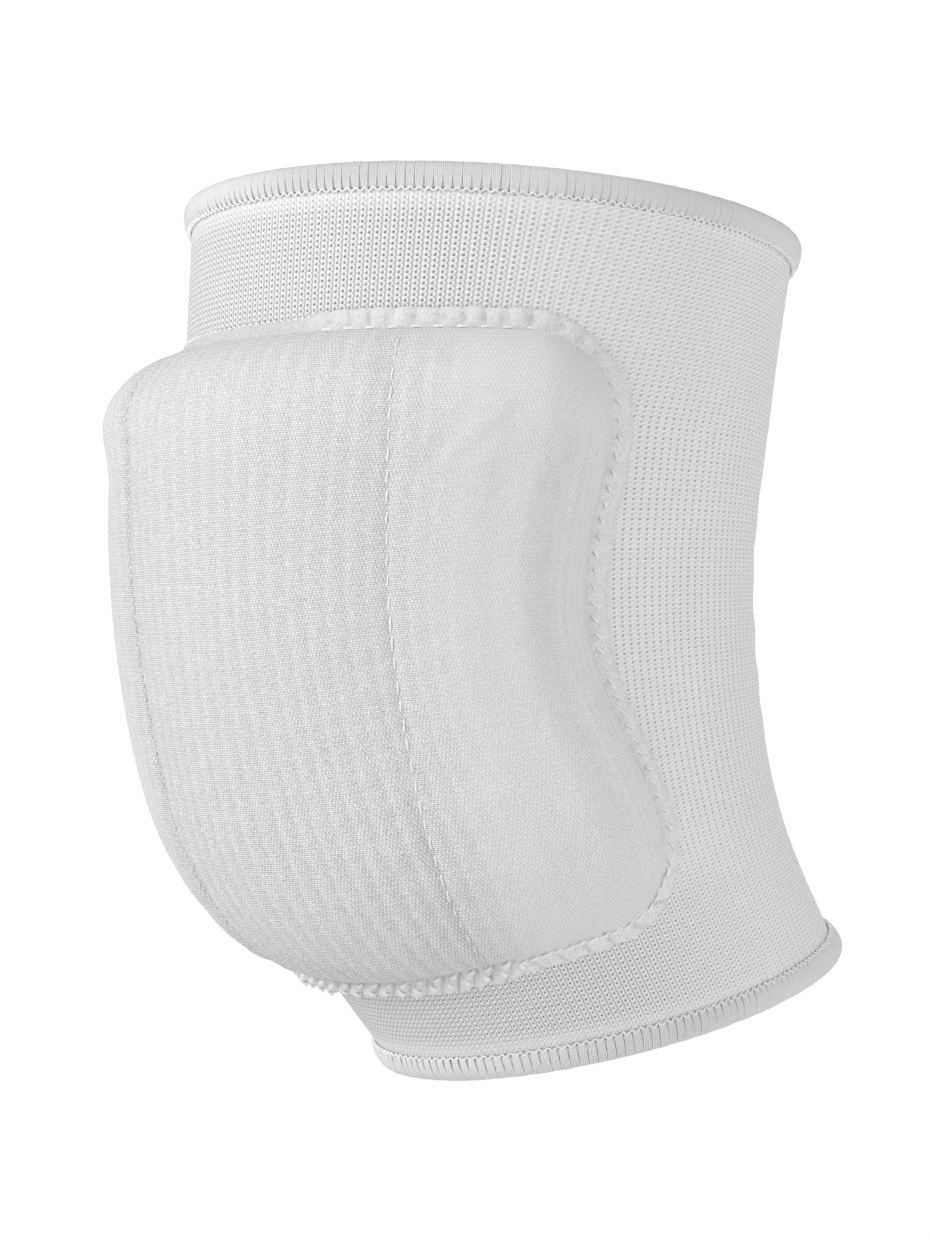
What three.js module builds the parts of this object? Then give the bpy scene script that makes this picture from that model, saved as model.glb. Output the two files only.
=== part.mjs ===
// Volleyball knee pad in the shape it has when worn on a slightly bent knee.
// A knitted elastic sleeve carries a three-cell foam pad under one sewn cover, a stitched band round the
// cover's edge, and an overlocked edging on each of the two openings.
// Millimetres, +Z up. The kneecap faces -Y and the origin is the centre of the hollow at the knee.

import * as THREE from "three";

// Centre line of the leg, from the calf opening through the knee to the thigh opening
const calfDrop = 87.7; // knee centre down to the calf opening's centre
const thighRise = 83; // knee centre up to the thigh opening's centre
const calfSetback = 50.5; // how far the calf opening's centre lies behind the knee's
const thighSetback = 10.4; // the same for the thigh opening
const calfPlaneLean = -17; // degrees: the openings' planes lean with the bent leg
const thighPlaneLean = 3.8;

// Outside of the knitted tube at the calf opening, the calf's belly, the knee and the thigh opening
const calfHalfWidth = 47.5;
const calfFront = 57;
const calfRear = 61.5;
const bellyHalfWidth = 53.5;
const bellyFront = 57;
const bellyRear = 66;
const kneeHalfWidth = 60;
const kneeFront = 62;
const kneeRear = 71;
const thighHalfWidth = 65;
const thighFront = 71.3;
const thighRear = 70.8;
const bellyAlong = 0.18; // places between the calf opening (0) and the thigh opening (1)
const kneeAlong = 0.565;

const knitWall = 2;
const seatGap = 0.4; // clearance between pieces that are sewn on one another

// Overlocked edging, a channel of thread folded over the tube's raw edge
const edgingDepth = 3.8;
const edgingThread = 1.5;

// Pad and its cover, measured on the outside of the tube
const thighBand = 27; // bare knit between the thigh opening and the pad
const calfBand = 22; // bare knit between the calf opening and the pad, at the shin
const padWrap = 75; // degrees from the shin line to the pad's side edge, at its widest
const thighCorner = 22; // corner radii of the pad's outline
const calfCorner = 18;
const hemBow = 7; // how much lower the pad's bottom edge is at the shin than at its corners
const hemBowPower = 1.5;
const coverEdge = 1.3; // thickness of the cover where it is sewn down
const kneeFoam = 15.2; // thickness of the foam over the kneecap and over the shin
const shinFoam = 17.5;
const shinFoamEnd = 0.1; // shares of the pad's height between which the one turns into the other
const kneeFoamStart = 0.7;
const seamAngle = 28.5; // degrees from the shin line to each quilting seam
const seamWidth = 7; // degrees over which the cover dips into a seam
const seamDip = 0.2; // share of the foam's thickness that a seam pulls in
const sideRound = 22; // how far the foam's edge rounds off at the sides, the thigh and the shin
const thighRound = 15;
const calfRound = 41;
const sideFullness = 0.7; // a foam edge is a quarter circle at 0.5 and ends in a slope at 1
const hemFullness = 0.5;

// Stitched band round the cover's edge
const bandWidth = 5;
const bandHeight = 2.2;
const bandShoulder = 1;

// Mesh density
const aroundSteps = 48;
const alongSteps = 18;
const padColumns = 36;
const padRows = 24;

const DEG = Math.PI / 180;
const tubeLength = calfDrop + thighRise;

// The bent centre line. A row's rise and setback are shares of the calf's or of the thigh's own sizes.
const centreLine = [
  { along: 0.0, rise: -1.0, setback: 1.0 },
  { along: bellyAlong, rise: -0.69, setback: 0.455 },
  { along: 0.4, rise: -0.31, setback: 0.11 },
  { along: kneeAlong, rise: 0.0, setback: 0.0 },
  { along: 0.8, rise: 0.53, setback: 0.34 },
  { along: 1.0, rise: 1.0, setback: 1.0 },
];

// How far the pad reaches round the leg, as a share of padWrap: it narrows beside the kneecap.
const padReach = [
  { along: 0.0, reach: 0.945 },
  { along: 0.25, reach: 1.0 },
  { along: 0.54, reach: 0.86 },
  { along: 0.78, reach: 0.925 },
  { along: 1.0, reach: 0.925 },
];

// A smooth curve through the rows' values, by cubic pieces with shared slopes
function smoothThrough(rows, column, at) {
  const last = rows.length - 1;
  const step = (i) => rows[i + 1].along - rows[i].along;
  const rise = (i) => (rows[i + 1][column] - rows[i][column]) / step(i);
  const slope = (i) => {
    if (i === 0) return rise(0);
    if (i === last) return rise(last - 1);
    return (rise(i - 1) * step(i) + rise(i) * step(i - 1)) / (step(i) + step(i - 1));
  };
  let i = 0;
  while (i < last - 1 && at > rows[i + 1].along) i++;
  const h = step(i);
  const x = (at - rows[i].along) / h;
  const [x2, x3] = [x * x, x * x * x];
  return (
    (2 * x3 - 3 * x2 + 1) * rows[i][column] +
    (x3 - 2 * x2 + x) * h * slope(i) +
    (3 * x2 - 2 * x3) * rows[i + 1][column] +
    (x3 - x2) * h * slope(i + 1)
  );
}

const centreRows = centreLine.map((row) => ({
  along: row.along,
  z: row.rise * (row.rise < 0 ? calfDrop : thighRise),
  y: row.setback * (row.rise < 0 ? calfSetback : thighSetback),
}));
const girthRows = [
  { along: 0, side: calfHalfWidth, front: calfFront, rear: calfRear },
  { along: bellyAlong, side: bellyHalfWidth, front: bellyFront, rear: bellyRear },
  { along: kneeAlong, side: kneeHalfWidth, front: kneeFront, rear: kneeRear },
  { along: 1, side: thighHalfWidth, front: thighFront, rear: thighRear },
];

// Outside of the knitted tube. The angle is in degrees from the shin line towards +X.
function tubePoint(angle, along) {
  const lean = THREE.MathUtils.lerp(calfPlaneLean, thighPlaneLean, along) * DEG;
  const c = Math.cos(angle * DEG);
  const x = smoothThrough(girthRows, "side", along) * Math.sin(angle * DEG);
  const forward = smoothThrough(girthRows, c > 0 ? "front" : "rear", along) * c;
  return new THREE.Vector3(
    x,
    smoothThrough(centreRows, "y", along) - forward * Math.cos(lean),
    smoothThrough(centreRows, "z", along) + forward * Math.sin(lean),
  );
}

// The tube's surface at a place: the way gone per degree, the way gone per share along, and outwards
function tubeFrame(angle, along) {
  const dAngle = 0.5;
  const dAlong = 0.004;
  const round = tubePoint(angle + dAngle, along).sub(tubePoint(angle - dAngle, along));
  const up = tubePoint(angle, along + dAlong).sub(tubePoint(angle, along - dAlong));
  const out = new THREE.Vector3().crossVectors(round, up).normalize();
  return { perDegree: round.divideScalar(2 * dAngle), perAlong: up.divideScalar(2 * dAlong), out };
}

// A point lifted off the tube's outside
function onTube(angle, along, lift) {
  const { out } = tubeFrame(angle, along);
  return tubePoint(angle, along).addScaledVector(out, lift);
}

// A closed solid from sections with equally many points, joined to each other in turn.
// The sections either close into a ring or are capped by strips across the first and the last.
function loft(sections, isRing) {
  const count = sections[0].length;
  const positions = sections.flat().flatMap((p) => [p.x, p.y, p.z]);
  const faces = [];
  const joins = isRing ? sections.length : sections.length - 1;
  for (let s = 0; s < joins; s++) {
    const here = s * count;
    const next = ((s + 1) % sections.length) * count;
    for (let k = 0; k < count; k++) {
      const k1 = (k + 1) % count;
      faces.push(here + k, here + k1, next + k1, here + k, next + k1, next + k);
    }
  }
  if (!isRing) {
    const end = (sections.length - 1) * count;
    for (let k = 0; k < count / 2 - 1; k++) {
      const [a, b, c, d] = [k, k + 1, count - 2 - k, count - 1 - k];
      faces.push(a, c, b, a, d, c);
      faces.push(end + a, end + b, end + c, end + a, end + c, end + d);
    }
  }
  const geometry = new THREE.BufferGeometry();
  geometry.setAttribute("position", new THREE.Float32BufferAttribute(positions, 3));
  geometry.setIndex(faces);
  return geometry;
}

const evenly = (count, closed) =>
  Array.from({ length: closed ? count : count + 1 }, (_, i) => i / count);

// The knitted tube: one wall, open at the thigh and at the calf
function knitTube() {
  const heights = evenly(alongSteps, false);
  return loft(
    evenly(aroundSteps, true).map((turn) => [
      ...heights.toReversed().map((along) => onTube(360 * turn, along, 0)),
      ...heights.map((along) => onTube(360 * turn, along, -knitWall)),
    ]),
    true,
  );
}

// The edging's channel section: offsets outwards from the tube's outside and beyond its raw edge
function edgingSection() {
  const shoulder = edgingThread / 2;
  const outer = seatGap + edgingThread;
  const inner = -knitWall - outer;
  return [
    [seatGap, -edgingDepth],
    [outer - shoulder / 2, -edgingDepth],
    [outer, -edgingDepth + shoulder],
    [outer, 0],
    [outer - shoulder, outer - shoulder / 2],
    [-knitWall / 2, outer],
    [inner + shoulder, outer - shoulder / 2],
    [inner, 0],
    [inner, -edgingDepth + shoulder],
    [inner + shoulder / 2, -edgingDepth],
    [-knitWall - seatGap, -edgingDepth],
    [-knitWall - seatGap, seatGap],
    [seatGap, seatGap],
  ];
}

// Overlocked edging round one opening. Beyond is 1 at the thigh and -1 at the calf, the way out of the tube.
function edging(along, beyond) {
  const sections = evenly(aroundSteps, true).map((turn) => {
    const angle = -360 * turn * beyond;
    const { perAlong, out } = tubeFrame(angle, along);
    const outOfTube = perAlong.normalize().multiplyScalar(beyond);
    const edge = tubePoint(angle, along);
    return edgingSection().map(([outwards, past]) =>
      edge.clone().addScaledVector(out, outwards).addScaledVector(outOfTube, past),
    );
  });
  return loft(sections, true);
}

// The drop from a flat edge to a round corner, for a place that is this far into a corner of that radius
function cornerDrop(into, radius) {
  return into > 0 ? radius - Math.sqrt(Math.max(radius * radius - into * into, 0)) : 0;
}

// The pad's outline on the tube. Across runs from -1 to 1 between its side edges, up from 0 to 1.
const reachAt = (along) => padWrap * smoothThrough(padReach, "reach", along);
const sideLength = kneeHalfWidth * DEG; // one degree round the leg, as a length
function padPlace(across, up) {
  const fromSide = (1 - Math.abs(across)) * padWrap * sideLength;
  const top = 1 - (thighBand + cornerDrop(thighCorner - fromSide, thighCorner)) / tubeLength;
  const bow = hemBow * Math.abs(across) ** hemBowPower;
  const bottom = (calfBand + bow + cornerDrop(calfCorner - fromSide, calfCorner)) / tubeLength;
  const along = THREE.MathUtils.lerp(bottom, top, up);
  return { angle: across * reachAt(along), along };
}

// A rounded rise from 0 at the edge to 1 at a given distance from it
function roundedRise(distance, reach, fullness) {
  const left = Math.max(1 - distance / reach, 0);
  return Math.max(1 - left * left, 0) ** fullness;
}

// Thickness of foam under the cover at a place of the pad
function foamAt(across, up) {
  const { angle } = padPlace(across, up);
  const { along: top } = padPlace(0, 1);
  const { along: bottom } = padPlace(0, 0);
  const height = (top - bottom) * tubeLength;
  const fromSide = (1 - Math.abs(across)) * padWrap * sideLength;
  const intoSeam = Math.min(Math.abs(Math.abs(angle) - seamAngle) / seamWidth, 1);
  const towardsKnee = THREE.MathUtils.smoothstep(up, shinFoamEnd, kneeFoamStart);
  return (
    THREE.MathUtils.lerp(shinFoam, kneeFoam, towardsKnee) *
    roundedRise(fromSide, sideRound, sideFullness) *
    roundedRise((1 - up) * height, thighRound, hemFullness) *
    roundedRise(up * height, calfRound, hemFullness) *
    (1 - seamDip * (1 - intoSeam) ** 2)
  );
}

// Steps from 0 to 1 that lie closer together towards both ends, for the pad's rounded edges
const easedSteps = (count) =>
  evenly(count, false).map((share) => (share + (1 - Math.cos(Math.PI * share)) / 2) / 2);
const padColumnPlaces = easedSteps(padColumns).map((share) => 2 * share - 1);
const padRowPlaces = easedSteps(padRows);

// The padded cover: three foam cells under one cloth, pulled in along two quilting seams
function padCover() {
  const sections = padRowPlaces.map((up) => {
    const place = (across, lift) => {
      const { angle, along } = padPlace(across, up);
      return onTube(angle, along, lift);
    };
    return [
      ...padColumnPlaces.map((across) => place(across, seatGap + coverEdge + foamAt(across, up))),
      ...padColumnPlaces.toReversed().map((across) => place(across, seatGap)),
    ];
  });
  return loft(sections, false);
}

// The pad's outline as one closed line of places, sides and corners included
function outlinePlaces() {
  const across = padColumnPlaces.slice(0, -1);
  const up = padRowPlaces.slice(0, -1);
  return [
    ...across.map((place) => padPlace(place, 0)),
    ...up.map((place) => padPlace(1, place)),
    ...across.map((place) => padPlace(-place, 1)),
    ...up.map((place) => padPlace(-1, 1 - place)),
  ];
}

// Stitched band, laid on the tube just outside the cover's edge
function edgeBand() {
  const places = outlinePlaces();
  const profile = [
    [0, 0],
    [0, bandHeight / 2],
    [bandShoulder, bandHeight],
    [bandWidth - bandShoulder, bandHeight],
    [bandWidth, bandHeight / 2],
    [bandWidth, 0],
  ];
  const sections = places.map(({ angle, along }, i) => {
    const before = places[(i + places.length - 1) % places.length];
    const after = places[(i + 1) % places.length];
    const { perDegree, perAlong, out } = tubeFrame(angle, along);
    const run = tubePoint(after.angle, after.along).sub(tubePoint(before.angle, before.along));
    const away = new THREE.Vector3().crossVectors(run, out).normalize();
    const degrees = away.dot(perDegree) / perDegree.lengthSq();
    const share = away.dot(perAlong) / perAlong.lengthSq();
    return profile.map(([outwards, lift]) => {
      const reach = seatGap + outwards;
      return onTube(angle + reach * degrees, along + reach * share, seatGap + lift);
    });
  });
  return loft(sections, true);
}

const knit = { color: 0xe6e6e6, roughness: 0.95, metalness: 0 };
const cloth = { color: 0xefefef, roughness: 0.9, metalness: 0 };
const thread = { color: 0xe9e9e9, roughness: 0.8, metalness: 0 };

function piece(name, geometry, finish) {
  const mesh = new THREE.Mesh(geometry, new THREE.MeshStandardMaterial(finish));
  mesh.name = name;
  return mesh;
}

const kneePad = new THREE.Group();
kneePad.add(
  piece("knit_sleeve", knitTube(), knit),
  piece("thigh_edging", edging(1, 1), thread),
  piece("calf_edging", edging(0, -1), thread),
  piece("pad_cover", padCover(), cloth),
  piece("pad_edge_band", edgeBand(), thread),
);

export default kneePad;
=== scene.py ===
import math

import bpy
import numpy as np
from mathutils import Matrix, Vector


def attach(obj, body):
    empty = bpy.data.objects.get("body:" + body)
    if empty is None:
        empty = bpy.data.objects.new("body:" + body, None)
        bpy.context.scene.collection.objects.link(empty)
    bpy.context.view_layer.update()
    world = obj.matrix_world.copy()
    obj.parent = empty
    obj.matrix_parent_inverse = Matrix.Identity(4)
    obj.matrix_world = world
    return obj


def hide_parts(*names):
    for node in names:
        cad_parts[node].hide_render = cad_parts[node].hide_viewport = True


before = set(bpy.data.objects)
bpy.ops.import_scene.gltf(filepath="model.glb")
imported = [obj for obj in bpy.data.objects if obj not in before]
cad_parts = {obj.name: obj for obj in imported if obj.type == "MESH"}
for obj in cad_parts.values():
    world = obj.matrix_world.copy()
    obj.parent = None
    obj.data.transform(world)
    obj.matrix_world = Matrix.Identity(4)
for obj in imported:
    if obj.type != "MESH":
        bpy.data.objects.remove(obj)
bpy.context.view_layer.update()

# The picture: the worn pad is seen from 40 degrees round the shin and from a little below the kneecap,
# through a long lens and in soft light from the upper left. All round it is white, over a pale floor.
MM = 0.001
view_round = math.radians(40)
view_below = math.radians(4.6)
view_distance = 1200 * MM
view_height = 275.6 * MM  # what the picture's height takes in at the knee
view_centre = Vector((0, 0, -4.2 * MM))
floor_level = -450 * MM
floor_radius = 3000 * MM
round_light, backdrop_light = 0.42, 1.02  # the surround as a lamp, and as the camera sees it


def face_towards(thing, place, target):
    """Puts a camera or a lamp at a place, turned to a target."""
    thing.location = place
    thing.rotation_euler = (Vector(target) - Vector(place)).to_track_quat("-Z", "Y").to_euler()


def softbox(name, place, size, power):
    lamp = bpy.data.lights.new(name, "AREA")
    lamp.shape = "DISK"
    lamp.size = size
    lamp.energy = power
    holder = bpy.data.objects.new(name, lamp)
    bpy.context.collection.objects.link(holder)
    face_towards(holder, place, view_centre)


lens = bpy.data.cameras.new("Camera")
lens.lens = lens.sensor_width * view_distance / view_height
lens.clip_start = 0.05
lens.clip_end = 20
camera = bpy.data.objects.new("Camera", lens)
bpy.context.collection.objects.link(camera)
towards_camera = Vector((math.sin(view_round), -math.cos(view_round), -math.tan(view_below))).normalized()
face_towards(camera, view_centre + towards_camera * view_distance, view_centre)
bpy.context.scene.camera = camera
bpy.context.scene.view_settings.view_transform = "Standard"

softbox("KeyLight", (-0.45, -1.45, 0.55), 1.1, 15.2)
softbox("FillLight", (1.7, 0.1, 0.2), 1.4, 7.6)
softbox("BackLight", (-0.6, 1.6, 0.7), 1.2, 6.8)

surround = bpy.data.worlds.new("Surround")
bpy.context.scene.world = surround
surround.use_nodes = True
sky = surround.node_tree.nodes
sky["Background"].inputs["Color"].default_value = (1, 1, 1, 1)
seen_directly = sky.new("ShaderNodeLightPath").outputs["Is Camera Ray"]
brightness = sky.new("ShaderNodeMapRange")
brightness.inputs["To Min"].default_value = round_light
brightness.inputs["To Max"].default_value = backdrop_light
surround.node_tree.links.new(seen_directly, brightness.inputs["Value"])
surround.node_tree.links.new(brightness.outputs["Result"], sky["Background"].inputs["Strength"])

bpy.ops.mesh.primitive_circle_add(vertices=96, radius=floor_radius, fill_type="NGON")
studio_floor = bpy.context.object
studio_floor.name = "StudioFloor"
for corner in studio_floor.data.vertices:
    corner.co.z += floor_level
floor_paint = bpy.data.materials.new("FloorPaint")
floor_paint.use_nodes = True
floor_shader = floor_paint.node_tree.nodes["Principled BSDF"].inputs
floor_shader["Base Color"].default_value = (0.93, 0.93, 0.93, 1)
floor_shader["Roughness"].default_value = 0.9
studio_floor.data.materials.append(floor_paint)


# Knitted sleeve: one seamless tube of white elastic yarn, knitted to the shape of a bent leg. Its loops
# stand in wavy columns, close and staggered above and below the pad, open like a net beside it.
calf_drop, thigh_rise = 87.7 * MM, 83 * MM
calf_setback, thigh_setback = 50.5 * MM, 10.4 * MM
knee_along = 0.565
belly_along = 0.18
tube_length = calf_drop + thigh_rise
calf_plane_lean, thigh_plane_lean = -17, 3.8
knit_wall = 2 * MM
wales = 178  # columns of loops round the tube
course_pitch = 0.965 * MM  # rows of loops

centre_rows = [
    dict(along=0.0, up=-calf_drop, back=calf_setback),
    dict(along=belly_along, up=-0.69 * calf_drop, back=0.455 * calf_setback),
    dict(along=0.4, up=-0.31 * calf_drop, back=0.11 * calf_setback),
    dict(along=knee_along, up=0.0, back=0.0),
    dict(along=0.8, up=0.53 * thigh_rise, back=0.34 * thigh_setback),
    dict(along=1.0, up=thigh_rise, back=thigh_setback),
]
girth_rows = [
    dict(along=0.0, side=47.5 * MM, front=57.0 * MM, rear=61.5 * MM),
    dict(along=belly_along, side=53.5 * MM, front=57.0 * MM, rear=66.0 * MM),
    dict(along=knee_along, side=60.0 * MM, front=62.0 * MM, rear=71.0 * MM),
    dict(along=1.0, side=65.0 * MM, front=71.3 * MM, rear=70.8 * MM),
]


def curve_between(x, start, end, start_slope, end_slope):
    """A smooth curve over one step, at shares x of it, with its slopes per step."""
    return (
        (2 * x**3 - 3 * x**2 + 1) * start
        + (x**3 - 2 * x**2 + x) * start_slope
        + (3 * x**2 - 2 * x**3) * end
        + (x**3 - x**2) * end_slope
    )


def smooth_through(rows, column, at):
    """A smooth curve through one column of a table, at places along the leg or the pad."""
    places = np.array([row["along"] for row in rows])
    values = np.array([row[column] for row in rows])
    slopes = np.gradient(values, places)
    at = np.asarray(at, float)
    i = np.clip(np.searchsorted(places, at) - 1, 0, len(rows) - 2)
    step = places[i + 1] - places[i]
    start_slope, end_slope = step * slopes[i], step * slopes[i + 1]
    return curve_between((at - places[i]) / step, values[i], values[i + 1], start_slope, end_slope)


def tube_point(angle, along):
    """Outside of the tube; the angle is in degrees from the shin line towards +X."""
    angle, along = np.broadcast_arrays(np.radians(angle), np.asarray(along, float))
    lean = np.radians(calf_plane_lean + (thigh_plane_lean - calf_plane_lean) * along)
    front = smooth_through(girth_rows, "front", along)
    rear = smooth_through(girth_rows, "rear", along)
    forward = np.where(np.cos(angle) > 0, front, rear) * np.cos(angle)
    return np.stack(
        [
            smooth_through(girth_rows, "side", along) * np.sin(angle),
            smooth_through(centre_rows, "back", along) - forward * np.cos(lean),
            smooth_through(centre_rows, "up", along) + forward * np.sin(lean),
        ],
        axis=-1,
    )


def unit(vectors):
    return vectors / np.linalg.norm(vectors, axis=-1, keepdims=True)


def tube_frame(angle, along):
    """The way gone on the tube per degree, the way gone per share along, and the outward direction."""
    per_degree = tube_point(angle + 0.5, along) - tube_point(angle - 0.5, along)
    per_along = (tube_point(angle, along + 0.004) - tube_point(angle, along - 0.004)) / 0.008
    return per_degree, per_along, unit(np.cross(per_degree, per_along))


def off_tube(angle, along, lift):
    return tube_point(angle, along) + tube_frame(angle, along)[2] * np.asarray(lift)[..., None]


def ease(low, high, x):
    """0 below low, 1 above high and a smooth step between; the other way round where low is the higher."""
    x = np.clip((np.asarray(x, float) - low) / (high - low), 0, 1)
    return x * x * (3 - 2 * x)


def ridge(distance, centre, half_width):
    return np.exp(-(((distance - centre) / half_width) ** 2))


def new_piece(name, points, faces, corner_uv=None):
    mesh = bpy.data.meshes.new(name)
    mesh.from_pydata(np.reshape(points, (-1, 3)).tolist(), [], faces)
    if corner_uv is not None:
        mesh.uv_layers.new(name="cloth").data.foreach_set("uv", np.ravel(corner_uv))
    mesh.shade_smooth()
    piece = bpy.data.objects.new(name, mesh)
    bpy.context.collection.objects.link(piece)
    return piece


def grid_numbers(rows, columns):
    return (index.ravel() for index in np.meshgrid(np.arange(rows), np.arange(columns), indexing="ij"))


def ring_piece(name, points, uv):
    """A closed skin from sections, each a closed line of points; uv has one more row and column."""
    rounds, count = points.shape[:2]
    i, j = grid_numbers(rounds, count)
    steps = [(0, 0), (1, 0), (1, 1), (0, 1)]
    faces = np.stack([(i + a) % rounds * count + (j + b) % count for a, b in steps], axis=1)
    return new_piece(name, points, faces.tolist(), np.stack([uv[i + a, j + b] for a, b in steps], axis=1))


def give_values(piece, name, values):
    layer = piece.data.attributes.new(name, "FLOAT", "POINT")
    layer.data.foreach_set("value", np.ravel(values).astype(np.float32))


def hang(piece, body, slot_name, *nodes):
    """Fixes a finished piece to its body and hides the solids that it stands for; slot_name is not used."""
    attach(piece, body)
    if nodes:
        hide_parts(*nodes)


class Wire:
    """A socket of a material's nodes. Arithmetic on it adds Math nodes."""

    def __init__(self, tree, socket=None):
        self.tree = tree
        self.socket = socket

    def node(self, kind, inputs=(), output=0, **settings):
        made = self.tree.nodes.new(kind)
        for name, value in settings.items():
            setattr(made, name, value)
        for key, value in dict(inputs).items():
            if isinstance(value, Wire):
                self.tree.links.new(value.socket, made.inputs[key])
            else:
                made.inputs[key].default_value = value
        return Wire(self.tree, made.outputs[output] if made.outputs else None)

    def maths(self, operation, *values):
        return self.node("ShaderNodeMath", enumerate(values), operation=operation)

    def __add__(self, other):
        return self.maths("ADD", self, other)

    __radd__ = __add__

    def __sub__(self, other):
        return self.maths("SUBTRACT", self, other)

    def __rsub__(self, other):
        return self.maths("SUBTRACT", other, self)

    def __mul__(self, other):
        return self.maths("MULTIPLY", self, other)

    __rmul__ = __mul__

    def __pow__(self, other):
        return self.maths("POWER", self, other)

    def __rpow__(self, other):
        return self.maths("POWER", other, self)

    def __abs__(self):
        return self.maths("ABSOLUTE", self)

    def cosine(self):
        return self.maths("COSINE", self)

    def below(self, other):
        return self.maths("LESS_THAN", self, other)

    def off_centre(self):
        """How far a place is from the nearest whole number, from -0.5 to 0.5."""
        return self.maths("FRACT", self + 0.5) - 0.5

    def step(self, low, high):
        """A smooth step from 0 at low to 1 at high."""
        return self.node(
            "ShaderNodeMapRange",
            {"Value": self, "From Min": low, "From Max": high},
            interpolation_type="SMOOTHSTEP",
        )

    def attribute(self, name):
        return self.node("ShaderNodeAttribute", output="Fac", attribute_name=name)

    def cloth_axes(self):
        """The two directions of the cloth, as its UV map counts them."""
        place = self.node("ShaderNodeUVMap", uv_map="cloth")
        parts = place.node("ShaderNodeSeparateXYZ", {0: place})
        return parts, Wire(self.tree, parts.socket.node.outputs[1])

    def mottle(self, size, roughness=0.5):
        """Even noise over the object, of a size in metres."""
        place = self.node("ShaderNodeTexCoord", output="Object")
        return place.node(
            "ShaderNodeTexNoise", {"Vector": place, "Scale": 1 / size, "Detail": 3.0, "Roughness": roughness}
        )


def cloth_material(name, draw):
    """A matt white cloth; draw gives its lightness, its height in metres and its roughness."""
    material = bpy.data.materials.new(name)
    material.use_nodes = True
    tree = material.node_tree
    tree.nodes.clear()
    lightness, height, roughness = draw(Wire(tree))
    colour = lightness.node("ShaderNodeCombineColor", {0: lightness, 1: lightness, 2: lightness})
    normal = height.node("ShaderNodeBump", {"Height": height, "Distance": 1.0, "Strength": 1.0})
    skin = normal.node(
        "ShaderNodeBsdfPrincipled",
        {
            "Base Color": colour,
            "Roughness": roughness,
            "Normal": normal,
            "Specular IOR Level": 0.25,
            "Sheen Weight": 0.12,
            "Sheen Roughness": 0.4,
        },
    )
    skin.node("ShaderNodeOutputMaterial", {"Surface": skin})
    return material


def from_centre(across, along):
    return (across**2 + along**2) ** 0.5


def knit_finish(wire):
    """Columns of loops, each loop's head arched over a small opening, with a wavy groove between columns.
    Every second row is more open than the next."""
    across, along = wire.cloth_axes()
    x, y = across.off_centre(), along.off_centre()
    net, relief, groove_there = wire.attribute("net"), wire.attribute("relief"), wire.attribute("groove")
    wide_row = abs((along * 0.5).off_centre()).below(0.25)
    opening = 1 - from_centre((x - y * groove_there * 0.22) * 5.4, (y + 0.02) * 3.8).step(0.35, 1.15)
    openings = opening * (net + (wire.attribute("open") - net) * wide_row)
    head = 1 - abs(from_centre((x - y * 0.1) * 3.4, (y - 0.1) * 2.1) - 1).step(0.05, 0.55)
    sway = (along * (2 * math.pi)).cosine()
    grooves = (1 - (0.5 - abs(x - sway * 0.07)).step(0.02, 0.2)) * groove_there
    course_line = 1 - abs(y + 0.36).step(0.05, 0.2)
    column = (x * (2 * math.pi)).cosine()
    strand = ((across - along) * (2 * math.pi)).cosine()
    knots = (x * (4 * math.pi)).cosine() * (y * (4 * math.pi)).cosine()
    height = head * relief * 0.12 - openings * 0.22 - grooves * 0.1 + course_line * 0.04 - strand * 0.03
    # Painted light and shade: the loop heads are painted paler as the light on them, and the openings and the
    # grooves between columns are painted dark as their shade. The knit is also painted a little paler where
    # its loops stand out in relief than where it lies flat.
    lightness = 0.82 + relief * (0.07 + head * 0.12) - openings * 0.57 - grooves * 0.3
    flat_knit = course_line * 0.18 - column * 0.05 - strand * 0.09 + knots * 0.09
    yarn = (wire.mottle(0.6 * MM, 0.75) - 0.5) * 0.22 + (wire.mottle(18 * MM) - 0.5) * 0.03
    return lightness + (1 - relief) * flat_knit + yarn, height * MM, 0.92 - head * 0.08


sleeve_columns, sleeve_rows, lining_rows = 300, 150, 40
turn = np.linspace(-180, 180, sleeve_columns + 1)
outer_along = np.linspace(0, 1, sleeve_rows)
inner_along = np.linspace(1, 0, lining_rows)
skin_along = np.concatenate([outer_along, inner_along])
skin_lift = np.concatenate([np.zeros(sleeve_rows), np.full(lining_rows, -knit_wall)])
round_leg, height_share = turn[:-1, None], skin_along[None, :]
side = np.abs(round_leg)
crease_pitch, crease_height, slack_height = 12.5 * MM, 0.16 * MM, 0.15 * MM
crease_turns = height_share * tube_length / crease_pitch + 0.5 * np.cos(np.radians(2.2 * round_leg))
crease_zone = ease(95, 150, side) * ease(0.25, 0.42, height_share) * ease(0.82, 0.6, height_share)
slack_zone = ease(70, 110, side) * np.sin(math.pi * height_share)
sleeve_waves = crease_height * np.cos(2 * math.pi * crease_turns) * crease_zone
sleeve_waves = sleeve_waves + slack_height * np.sin(height_share * 17 + side / 21) * slack_zone
skin_points = off_tube(round_leg, height_share, skin_lift[None, :] + sleeve_waves)

drawn_forward, drawn_off_sides = 8.3, 0.72  # columns of loops, drawn to the shin and away from the sides
pull_angle, pull_width, pull_from = 75, 28, 0.75  # where the pad's upper corners pull the columns aside
pull_columns = 5
wale_count = turn * wales / 360 + drawn_forward * np.sin(np.radians(turn))
wale_count = wale_count + drawn_off_sides * np.sin(np.radians(2 * turn))
corner_pull = ridge(turn, pull_angle, pull_width) - ridge(turn, -pull_angle, pull_width)
pull_share = np.clip(np.append(skin_along, 0) - pull_from, 0, 1) / (1 - pull_from)
wale_lean = pull_columns * corner_pull[:, None] * pull_share[None, :]
course_count = np.append(skin_along, 0) * tube_length / course_pitch
knit_uv = np.stack(np.broadcast_arrays(wale_count[:, None] - wale_lean, course_count[None, :]), axis=-1)
knit_sleeve = ring_piece("KnitSleeve", skin_points, knit_uv)

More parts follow.
